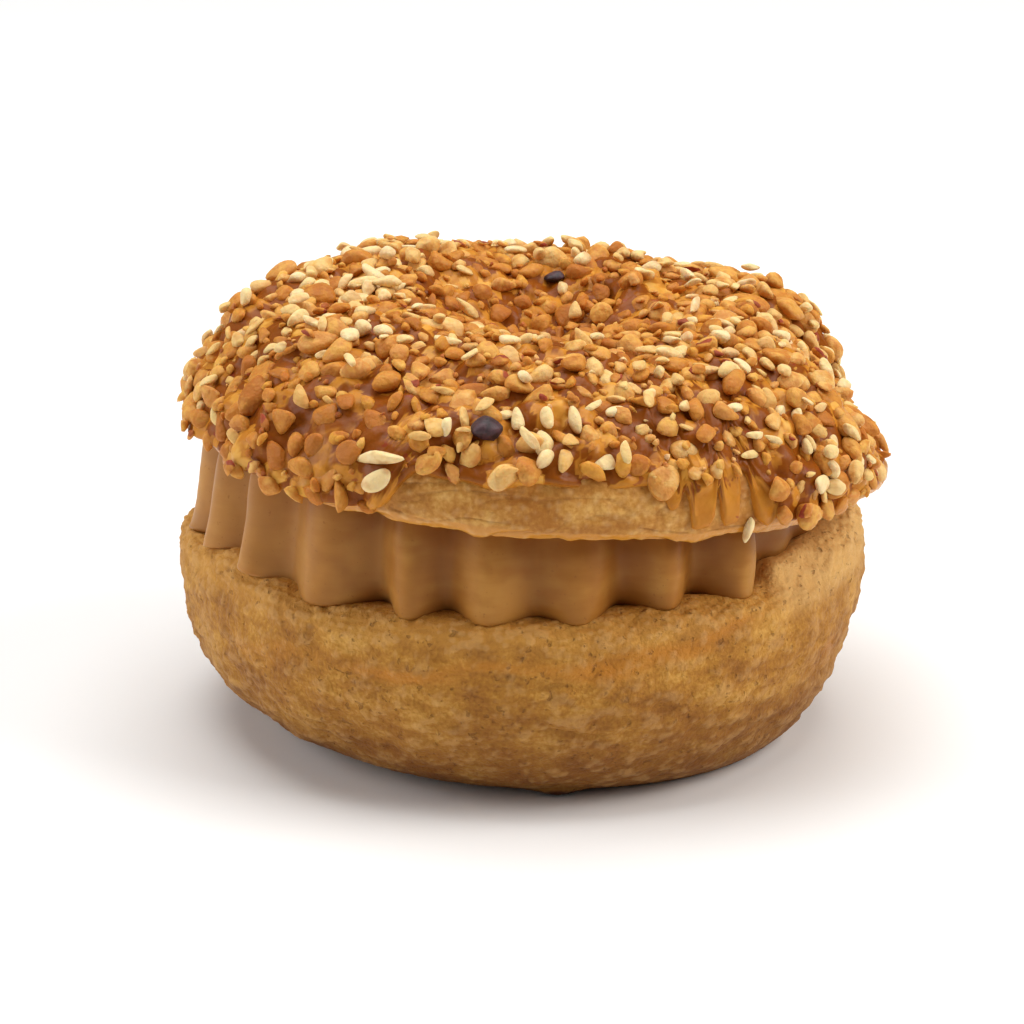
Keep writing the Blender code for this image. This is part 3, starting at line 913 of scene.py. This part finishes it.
rng = np.random.default_rng(7)
fine_ball, fine_faces = ball(3)
crumb_ball, crumb_faces = ball(2)
sample = chip(rng, fine_ball, 14, 3, 9)
print("a chip reaches", np.linalg.norm(sample, axis=1).min().round(2), "to", 1.0, "of its size")

# %% [markdown]
# ## Scattering over the lid
# Nuts lie about evenly but never on each other's spot. Points are drawn at random with the lid's area as
# their weight, and each is kept only if it stands clear of those already kept. The bare band, the
# dimple's bottom and the smooth caramel at the front left get none or few.

# %% Drawing places
WAY_STEPS = np.linspace(0.0, 1.0, 401)
profile = np.stack(lid_profile(np.zeros(401), WAY_STEPS))
stretch_of_way = np.append(np.linalg.norm(np.diff(profile, axis=1), axis=0), 0.0)
way_weight = profile[0] * stretch_of_way / np.sum(profile[0] * stretch_of_way)


PALE_HEAPS = (  # azimuth, width in degrees and way where pale pieces lie thick
    (5, 16, 0.65), (25, 14, 0.55), (50, 14, 0.75), (-50, 14, 0.55), (-75, 14, 0.65),
    (60, 18, 0.40), (95, 14, 0.60), (-100, 30, 0.40), (150, 30, 0.45), (-150, 20, 0.65),
    (130, 22, 0.75), (180, 18, 0.80), (-120, 16, 0.85),
)
PALE_REACH = 0.08  # how far along the way such a heap spreads


def pale_share(azimuth, way):
    """How thickly pale pieces lie here, from 0 to 1."""
    heaps = sum(swell(azimuth, a, w) * np.exp(-(((way - y) / PALE_REACH) ** 2)) for a, w, y in PALE_HEAPS)
    return np.clip(0.07 + heaps, 0, 1)


def spots(rng, count, spacing, taken, heaped):
    """Azimuths and ways of up to count places clear of each other and of those taken."""
    azimuth = rng.uniform(-180, 180, 14 * count)
    way = rng.choice(WAY_STEPS, 14 * count, p=way_weight) + rng.uniform(-0.0012, 0.0012, 14 * count)
    inside = (way > BED_START + 0.035) & (way < nut_hem(azimuth) - 0.014)
    smooth = swell(azimuth, -37, 11) * swell(way, 0.76, 0.09)
    lucky = rng.uniform(0, 1, 14 * count) > 0.93 * smooth
    if heaped:
        lucky = lucky & (rng.uniform(0, 1, 14 * count) < pale_share(azimuth, way))
    azimuth, way = azimuth[inside & lucky], way[inside & lucky]
    places = lid_surface(azimuth, way)
    kept = []
    crowd = np.array(taken).reshape(-1, 4)
    for i, place in enumerate(places):
        if len(kept) == count:
            break
        clear = crowd[:, 3] + 0.5 * spacing
        if np.any(np.sum((crowd[:, :3] - place) ** 2, axis=1) < clear**2):
            continue
        crowd = np.vstack([crowd, np.append(place, 0.5 * spacing)])
        kept.append(i)
    return azimuth[kept], way[kept]


def height_below(place, bed_height, pile):
    """The height of what a nut lands on here: the caramel, or the back of a nut in the pile."""
    nuts = np.array(pile).reshape(-1, 6)
    gap = np.linalg.norm(nuts[:, :3] - place, axis=1) / nuts[:, 3]
    backs = nuts[:, 4] + nuts[:, 5] * np.sqrt(np.clip(1 - gap**2, 0, 1))
    return max([bed_height, *backs[gap < 1]])


def in_a_gap(azimuth, way, pile):
    """Whether the caramel lies open here, so that a small piece would roll in between the nuts."""
    place = lid_surface(azimuth, way)
    bed_height = float(bed_lift(np.array([azimuth]), np.array([way]), place[None])[0][0])
    return height_below(place, bed_height, pile) < bed_height + 0.6


def settle(points, azimuth, way, lift, turn, tilt, roll):
    """Turns one nut's points and sets them on the lid, raised by lift, before the lid leans."""
    here = lid_surface(azimuth, way)
    out = lid_surface(azimuth, way, 1.0) - here
    round_way = at(azimuth + 90, 1.0, 0.0)
    up_way = np.cross(out, round_way)
    c, s = math.cos(turn), math.sin(turn)
    first, second = c * round_way + s * up_way, c * up_way - s * round_way
    first, out = math.cos(tilt) * first + math.sin(tilt) * out, math.cos(tilt) * out - math.sin(tilt) * first
    second, out = math.cos(roll) * second + math.sin(roll) * out, math.cos(roll) * out - math.sin(roll) * second
    return here + (lid_surface(azimuth, way, 1.0) - here) * lift + points @ np.stack([first, second, out])


print("share of the lid's area outside the crest", way_weight[WAY_STEPS > CREST_WAY].sum().round(2))

# %% [markdown]
# ## Kinds of nut
# Five kinds lie on the lid: roasted hazelnut chips, flat almond chips, pale blanched pieces, long pale
# slivers, and pieces that kept some of their red-brown skin. Each kind is one mesh with its own finish.
# A few pieces that everyone would notice are listed first, in round numbers, as azimuth, way,
# length, width and turn: two dark bits, a row of pale pieces on end beside the front one, a long sliver
# with a pale block at the front edge, and a sliver hanging from it. The rest find their places round them.

# %% Table of kinds
KINDS = {
    "hazelnut_chips": dict(count=560, spacing=2.6, length=(3.6, 5.8), width=(0.7, 0.95), thick=(0.5, 0.7),
                           planes=10, cuts=2, wear=4, level=3, sink=(-0.3, 0.3), group="amber"),
    "almond_chips": dict(count=380, spacing=1.9, length=(2.8, 4.6), width=(0.5, 0.8), thick=(0.4, 0.6),
                         planes=9, cuts=2, wear=5, level=2, sink=(-0.2, 0.5), group="amber"),
    "skinned_chips": dict(count=120, spacing=1.9, length=(2.2, 3.8), width=(0.55, 0.85), thick=(0.3, 0.5),
                          planes=10, cuts=3, wear=9, level=2, sink=(0.0, 0.5), group="pale"),
    "blanched_chips": dict(count=240, spacing=1.7, length=(2.6, 4.4), width=(0.5, 0.8), thick=(0.4, 0.6),
                           planes=12, cuts=1, wear=4, level=3, sink=(-0.1, 0.5), group="pale", heaped=True),
    "almond_slivers": dict(count=120, spacing=1.5, length=(3.0, 5.0), width=(0.32, 0.48), thick=(0.28, 0.4),
                           planes=12, cuts=1, wear=5, level=3, sink=(0.1, 0.6), group="pale", heaped=True),
    "small_chips": dict(count=700, spacing=1.2, length=(1.5, 2.6), width=(0.6, 0.95), thick=(0.5, 0.8),
                        planes=9, cuts=2, wear=5, level=2, sink=(-0.3, 0.4), group="pale", fills=True),
}
CHOSEN = {
    "dark_bits": [(-10, 0.70, 5.0, 4.5, 10), (175, 0.30, 4.0, 2.5, -10)],
    "blanched_chips": [(azimuth, 0.65, 4.5, 2.0, -75) for azimuth in (-5, 0, 5)]
    + [(azimuth, 0.75, 3.5, 2.5, 30) for azimuth in (0, 10)] + [(-25, 0.85, 4.5, 3.0, 45)],
    "almond_slivers": [(-25, 0.80, 8.5, 2.5, 5), (35, 0.95, 5.0, 1.5, 90)],
}
for kind, facts in KINDS.items():
    print(kind, facts["count"], "pieces,", len(CHOSEN.get(kind, [])), "of them chosen")


# %% Making a kind
def lay(rng, facts, azimuth, way, length, width, turn, bed_height, pile):
    """One nut's points on the lid, their height over the caramel, and its skin side. It joins the pile."""
    corners = fine_ball if facts["level"] == 3 else crumb_ball
    shape = chip(rng, corners, facts["planes"], facts["cuts"], facts["wear"])
    thick = length * rng.uniform(*facts["thick"])
    sized = shape * np.array([length, width, thick]) / 2
    tilt, roll = rng.normal(0, 0.25, 2)
    floor = lid_surface(azimuth, way)
    lift = height_below(floor, bed_height, pile) + rng.uniform(*facts["sink"]) * thick / 2
    pile.append([*floor, 0.19 * (length + width), lift, 0.36 * thick])
    placed = settle(sized, azimuth, way, lift, turn, tilt, roll)
    over = (placed - floor) @ (lid_surface(azimuth, way, 1.0) - floor) - bed_height
    skin_way = rng.normal(size=3)
    skin = step(corners @ (skin_way / np.linalg.norm(skin_way)), 0.25, 0.45)
    return placed, over, skin


def kind_piece(rng, name, facts, taken, pile):
    """All nuts of a kind as one mesh. Their places are added to taken, and the nuts to the pile."""
    chosen = CHOSEN.get(name, [])
    azimuth, way = spots(rng, facts["count"] - len(chosen), facts["spacing"], taken, facts.get("heaped"))
    length = rng.uniform(*facts["length"], len(way))
    width = length * rng.uniform(*facts["width"], len(way))
    turn = rng.uniform(0, 2 * math.pi, len(way))
    drawn = list(zip(azimuth, way, length, width, turn))
    if facts.get("fills"):
        drawn = [nut for nut in drawn if in_a_gap(nut[0], nut[1], pile)]
    listed = [(a, w, l, d, math.radians(t)) for a, w, l, d, t in chosen]
    where = np.array([(a, w) for a, w, *_ in listed + drawn])
    floor = lid_surface(where[:, 0], where[:, 1])
    taken.extend([*place, 0.5 * facts["spacing"]] for place in floor[len(listed):])
    heights, *_ = bed_lift(where[:, 0], where[:, 1], floor)
    laid = [lay(rng, facts, *nut, height, pile) for nut, height in zip(listed + drawn, heights)]
    # besides a slow random drift, painted shade lowers the tone in the dimple and on the front left flank, and painted
    # light raises it at the right
    drift = 0.35 * lumps(floor, 7.0) - 0.4 * np.exp(-(((where[:, 1] - 0.2) / 0.15) ** 2))
    drift = drift - 0.45 * swell(where[:, 0], -48, 22) * step(where[:, 1], 0.55, 0.7) + 0.1 * swell(where[:, 0], 70, 50)
    tone = np.append(np.full(len(listed), 0.8), rng.uniform(0, 1, len(drawn)) + drift[len(listed):])
    faces = fine_faces if facts["level"] == 3 else crumb_faces
    each = len(laid[0][0])
    offsets = np.arange(len(laid))[:, None, None] * each
    points = leaned(np.concatenate([points for points, _, _ in laid]))
    return new_piece(name, points, (faces[None] + offsets).reshape(-1, 3).tolist(), {
        "tone": np.repeat(tone, each),
        "over": np.concatenate([over for _, over, _ in laid]),
        "skin": np.concatenate([skin for _, _, skin in laid]),
    })


reserved = [[*lid_surface(a, w), 0.22 * l] for chosen in CHOSEN.values() for a, w, l, *_ in chosen]
taken = {"amber": list(reserved), "pale": list(reserved)}
pile = []
nut_rng = np.random.default_rng(23)
pieces = {name: kind_piece(nut_rng, name, facts, taken[facts["group"]], pile) for name, facts in KINDS.items()}
print("nuts placed", len(pile))

# %% [markdown]
# ## Nut finishes
# Under its caramel film each nut keeps the colour it roasted to. Three things vary: the tone, drawn once
# for each nut and shifted by painted shade in the dimple and on the front left and by painted light at
# the right; the height over the caramel, because the foot of each nut sits in an amber rim; and a
# skin side, shown only by the kind that kept its skin. One function makes all five finishes from a
# short ramp of colours.

# %% Nut finishes
def nut_finish(name, tones, film, skinned=0.0):
    """A nut under caramel up to this many millimetres over the bed, with skin of this strength."""
    finish = Finish(
        name, Coat_Roughness=0.2, Specular_IOR_Level=0.18,
        Subsurface_Weight=0.3, Subsurface_Radius=(1.0, 0.6, 0.3), Subsurface_Scale=1.0 * MM,
    )
    clouds = finish.grain(1.5, 3.0)
    flesh = finish.ramp(finish.field("tone") + 0.8 * (clouds - 0.5), *tones)
    toasted = finish.grain(2.2, 2.0).between(0.5, 0.68)
    flesh = finish.mix(0.4 * toasted, flesh, paint(186, 113, 42))
    if skinned:
        bark = skinned * (finish.field("skin") + 0.5 * (clouds - 0.5)).between(0.3, 0.7)
        flesh = finish.mix(bark, flesh, paint(146, 56, 42))
    soaked = (finish.field("over") + 0.8 * (clouds - 0.5)).between(film, film - 1.3)
    flesh = finish.mix(0.65 * soaked, flesh, paint(196, 127, 45))
    pits = finish.grain(0.7, 2.0)
    finish.drive(
        Base_Color=flesh,
        Roughness=0.58 - 0.12 * soaked,
        Coat_Weight=0.02 + 0.10 * soaked,
        Normal=finish.bump(0.5 * pits + 0.5 * clouds, 0.5),
    )
    return finish


ROASTED = (
    (0.0, paint(174, 104, 38)), (0.2, paint(206, 142, 60)),
    (0.35, paint(192, 121, 50)), (0.55, paint(220, 166, 82)),
    (0.7, paint(204, 139, 72)), (0.85, paint(226, 178, 100)),
    (1.0, paint(230, 192, 126)),
)
GOLDEN = (
    (0.0, paint(184, 111, 38)), (0.2, paint(214, 154, 60)),
    (0.4, paint(196, 127, 50)), (0.6, paint(224, 174, 86)),
    (0.8, paint(210, 150, 80)), (1.0, paint(232, 196, 126)),
)
PALE = ((0.0, paint(218, 172, 100)), (0.4, paint(232, 198, 132)), (1.0, paint(238, 214, 164)))
nut_finish("hazelnut", ROASTED, 1.0).dress(pieces["hazelnut_chips"], None, "caramel_nuts")
nut_finish("almond", GOLDEN, 0.9).dress(pieces["almond_chips"], None, "caramel_nuts")
nut_finish("blanched_nut", PALE, 0.6).dress(pieces["blanched_chips"], None, "caramel_nuts")
nut_finish("sliver", PALE, 0.4).dress(pieces["almond_slivers"], None, "caramel_nuts")
nut_finish("skinned_nut", ROASTED, 0.9, skinned=0.9).dress(pieces["skinned_chips"], None, "caramel_nuts")
nut_finish("small_nut", GOLDEN, 0.9).dress(pieces["small_chips"], None, "caramel_nuts")

# %% [markdown]
# ## Fine crumbs of nut
# Chopping leaves crumbs a millimetre wide, which fill the gaps. They are too many to space apart, and
# too small to need more than eighty triangles each.

# %% Nut crumbs
CRUMBS = dict(count=500, spacing=0.5, length=(0.9, 1.5), width=(0.6, 0.95), thick=(0.5, 0.8),
              planes=9, cuts=2, wear=7, level=2, sink=(-0.3, 0.4), fills=True)
crumbs = kind_piece(np.random.default_rng(5), "nut_crumbs", CRUMBS, [[0, 0, 0, 0]], pile)
MIXED = ((0.0, paint(150, 80, 32)), (0.4, paint(196, 126, 56)), (0.8, paint(222, 168, 96)), (1.0, paint(244, 214, 160)))
nut_finish("crumb", MIXED, 0.8, skinned=0.4).dress(crumbs, None, "caramel_nuts")

# %% [markdown]
# ## Two dark bits
# Two pieces in the crust are nearly black: bits of dried fruit that caught the heat.

# %% Dark bits
DARK = dict(count=2, spacing=1.0, thick=(0.5, 0.6), planes=10, cuts=1, wear=5, level=3, sink=(0.3, 0.5))
FRUIT_LENGTH = (4.0, 5.0)
bits = kind_piece(
    np.random.default_rng(3), "dark_bits", dict(DARK, length=FRUIT_LENGTH, width=(0.8, 0.9)), [[0, 0, 0, 0]], pile
)
fruit = Finish("dark_fruit", Roughness=0.6, Coat_Weight=0.1, Coat_Roughness=0.3)
wrinkle = fruit.grain(0.9, 3.0)
plum = fruit.ramp(wrinkle, (0.35, paint(34, 16, 22)), (0.65, paint(74, 40, 48)))
fruit.drive(Base_Color=plum, Normal=fruit.bump(wrinkle, 0.3))
fruit.dress(bits, None, "caramel_nuts")

# %% [markdown]
# ## Floor, light and camera
# The pastry stands on a plain pale floor. One soft light from the upper right in front models the ribs
# and gives the caramel its sparkle, a weak one from the left opens the shadows, and a pale sky fills the
# rest. The camera is a long lens that looks down a little, so the ring keeps its shape.

# %% Floor
FLOOR_SIZE = 6000.0
floor_mesh = bpy.data.meshes.new("floor")
half = 0.5 * FLOOR_SIZE * MM
floor_mesh.from_pydata([(-half, -half, 0), (half, -half, 0), (half, half, 0), (-half, half, 0)], [], [(0, 1, 2, 3)])
floor = bpy.data.objects.new("floor", floor_mesh)
bpy.context.scene.collection.objects.link(floor)
paper = Finish("paper", Roughness=0.9, Base_Color=paint(244, 244, 244))
floor_mesh.materials.append(paper.material)


# %% Lights
def area_light(name, place, size, watts, colour):
    """A square soft light that looks at the middle of the pastry."""
    data = bpy.data.lights.new(name, "AREA")
    data.size = size
    data.energy = watts
    data.color = colour
    light = bpy.data.objects.new(name, data)
    light.location = place
    middle = bpy.data.objects["body:root"].location.copy()
    middle.z = 27 * MM
    light.rotation_euler = (middle - light.location).to_track_quat("-Z", "Y").to_euler()
    bpy.context.scene.collection.objects.link(light)


area_light("key", (0.74, -0.18, 0.60), 0.6, 6.6, (1.0, 0.97, 0.93))
area_light("top", (-0.05, 0.15, 0.95), 0.9, 9.5, (1.0, 0.99, 0.97))
area_light("side", (-0.85, -0.08, 0.40), 0.6, 4.2, (0.98, 0.99, 1.0))
world = bpy.data.worlds.new("sky")
world.use_nodes = True
sky = world.node_tree.nodes["Background"].inputs
sky["Color"].default_value = (0.96, 0.98, 1.0, 1.0)
sky["Strength"].default_value = 0.10
bpy.context.scene.world = world
bpy.context.scene.view_settings.view_transform = "Standard"

# %% Camera
DISTANCE = 0.5
LOOKS_DOWN = math.radians(18.5)
AIM = (-1.5 * MM, -0.48 * MM, 25.58 * MM)
lens = bpy.data.cameras.new("camera")
lens.lens = 140.1
lens.sensor_width = 36.0
camera = bpy.data.objects.new("camera", lens)
back, up = DISTANCE * math.cos(LOOKS_DOWN), DISTANCE * math.sin(LOOKS_DOWN)
camera.location = (AIM[0], AIM[1] - back, AIM[2] + up)
camera.rotation_euler = (math.pi / 2 - LOOKS_DOWN, 0, 0)
bpy.context.scene.collection.objects.link(camera)
bpy.context.scene.camera = camera
print("camera", tuple(round(v, 3) for v in camera.location))
